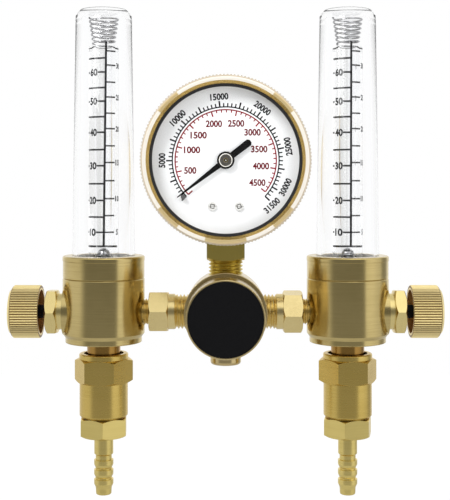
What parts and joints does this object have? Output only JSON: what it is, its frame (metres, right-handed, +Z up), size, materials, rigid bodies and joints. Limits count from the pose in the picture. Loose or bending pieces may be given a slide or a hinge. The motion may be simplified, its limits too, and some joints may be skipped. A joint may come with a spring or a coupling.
{
  "type": "dual argon flowmeter regulator",
  "caption": "Brass gas regulator with a round pressure gauge, a clear flow tube with a needle valve on each side and hose barbs below.",
  "frame": {"origin": "middle of the inlet nut's thread, on its axis", "axes": "+Y along the inlet thread towards the cylinder valve, +Z up along the flow tubes, +X to the right seen from the front"},
  "size_m": [0.1716, 0.0819, 0.1933],
  "materials": {
    "turned_brass": "satin turned brass",
    "fitting_brass": "bright machined brass",
    "coupler_brass": "satin olive brass",
    "knob_brass": "matte fluted brass",
    "gauge_gold": "pale champagne brass with a coin-edge grip",
    "clear_plastic": "clear moulded plastic",
    "label_black": "matte black",
    "dial_white": "white enamel with plain scales",
    "pointer_black": "black enamel",
    "spring_steel": "plain steel",
    "ball_steel": "polished steel",
    "seal_rubber": "black rubber",
    "filter_bronze": "sintered bronze"
  },
  "bodies": {
    "root": {"left_flow_body": "turned_brass", "left_tube_collar": "turned_brass", "left_tube_cover": "clear_plastic", "left_cover_seal": "seal_rubber", "left_metering_tube": "clear_plastic", "left_tube_spring": "spring_steel", "left_valve_bonnet": "fitting_brass", "left_stem_packing": "seal_rubber", "left_hex_nipple": "fitting_brass", "left_outlet_coupler": "coupler_brass", "left_outlet_seal": "seal_rubber", "left_hose_barb": "fitting_brass", "right_flow_body": "turned_brass", "right_tube_collar": "turned_brass", "right_tube_cover": "clear_plastic", "right_cover_seal": "seal_rubber", "right_metering_tube": "clear_plastic", "right_tube_spring": "spring_steel", "right_valve_bonnet": "fitting_brass", "right_stem_packing": "seal_rubber", "right_hex_nipple": "fitting_brass", "right_outlet_coupler": "coupler_brass", "right_outlet_seal": "seal_rubber", "right_hose_barb": "fitting_brass", "regulator_body": "fitting_brass", "bonnet_cap": "fitting_brass", "label_disc": "label_black", "range_spring": "spring_steel", "nozzle": "fitting_brass", "bottom_plug": "fitting_brass", "inlet_nipple": "fitting_brass", "inlet_filter": "filter_bronze", "gauge_case": "gauge_gold", "gauge_socket": "fitting_brass", "gauge_bezel": "gauge_gold", "window_gasket": "seal_rubber", "gauge_window": "clear_plastic", "gauge_dial": "dial_white", "dial_screws": "spring_steel", "stop_pin": "pointer_black", "bourdon_tube": "filter_bronze", "movement_frame": "fitting_brass", "movement_screws": "spring_steel"},
    "pointer": {"pointer": "pointer_black", "pointer_hub": "pointer_black", "pinion": "fitting_brass"},
    "sector": {"sector_gear": "fitting_brass"},
    "link": {"sector_link": "spring_steel"},
    "inlet_nut": {"inlet_nut": "fitting_brass"},
    "piston": {"piston": "fitting_brass", "piston_seal": "seal_rubber", "piston_seat": "seal_rubber"},
    "left_stem": {"left_valve_stem": "pointer_black"},
    "left_knob": {"left_knob": "knob_brass", "left_knob_screw": "spring_steel"},
    "left_float": {"left_float_ball": "ball_steel"},
    "right_stem": {"right_valve_stem": "pointer_black"},
    "right_knob": {"right_knob": "knob_brass", "right_knob_screw": "spring_steel"},
    "right_float": {"right_float_ball": "ball_steel"}
  },
  "joints": [
    {"name": "left_stem_lift", "type": "slide", "parent": "root", "child": "left_stem", "axis": [-1, 0, 0], "range_m": [0, 0.003]},
    {"name": "left_knob_turn", "type": "hinge", "parent": "left_stem", "child": "left_knob", "pos_m": [-0.0795, -0.0345, 0], "axis": [-1, 0, 0], "range_deg": [0, 1080]},
    {"name": "left_float_rise", "type": "slide", "parent": "root", "child": "left_float", "axis": [0, 0, 1], "range_m": [0, 0.077]},
    {"name": "right_stem_lift", "type": "slide", "parent": "root", "child": "right_stem", "axis": [1, 0, 0], "range_m": [0, 0.003]},
    {"name": "right_knob_turn", "type": "hinge", "parent": "right_stem", "child": "right_knob", "pos_m": [0.0795, -0.0345, 0], "axis": [1, 0, 0], "range_deg": [0, 1080]},
    {"name": "right_float_rise", "type": "slide", "parent": "root", "child": "right_float", "axis": [0, 0, 1], "range_m": [0, 0.077]},
    {"name": "pointer_turn", "type": "hinge", "parent": "root", "child": "pointer", "pos_m": [0, -0.0345, 0.0602], "axis": [0, 1, 0], "range_deg": [0, 262.5], "stiffness_Nm_per_rad": 0.002, "springref_deg": -17.19},
    {"name": "sector_turn", "type": "hinge", "parent": "root", "child": "sector", "pos_m": [0, -0.0345, 0.0453], "axis": [0, 1, 0], "range_deg": [-43, 0]},
    {"name": "link_turn", "type": "hinge", "parent": "sector", "child": "link", "pos_m": [0.00606, -0.0345, 0.0418], "axis": [0, 1, 0], "range_deg": [0, 43]},
    {"name": "inlet_nut_turn", "type": "hinge", "parent": "root", "child": "inlet_nut", "pos_m": [0, 0, 0], "axis": [0, 1, 0], "continuous": true},
    {"name": "piston_slide", "type": "slide", "parent": "root", "child": "piston", "axis": [0, 1, 0], "range_m": [0, 0.0006], "stiffness_N_per_m": 3000, "springref_m": -0.002}
  ],
  "couplings": [
    {"joint": "left_knob_turn", "follows": "left_stem_lift", "rad_per_m": 6283.2},
    {"joint": "right_knob_turn", "follows": "right_stem_lift", "rad_per_m": 6283.2},
    {"joint": "sector_turn", "follows": "pointer_turn", "ratio": -0.15625},
    {"joint": "link_turn", "follows": "pointer_turn", "ratio": 0.15625}
  ]
}
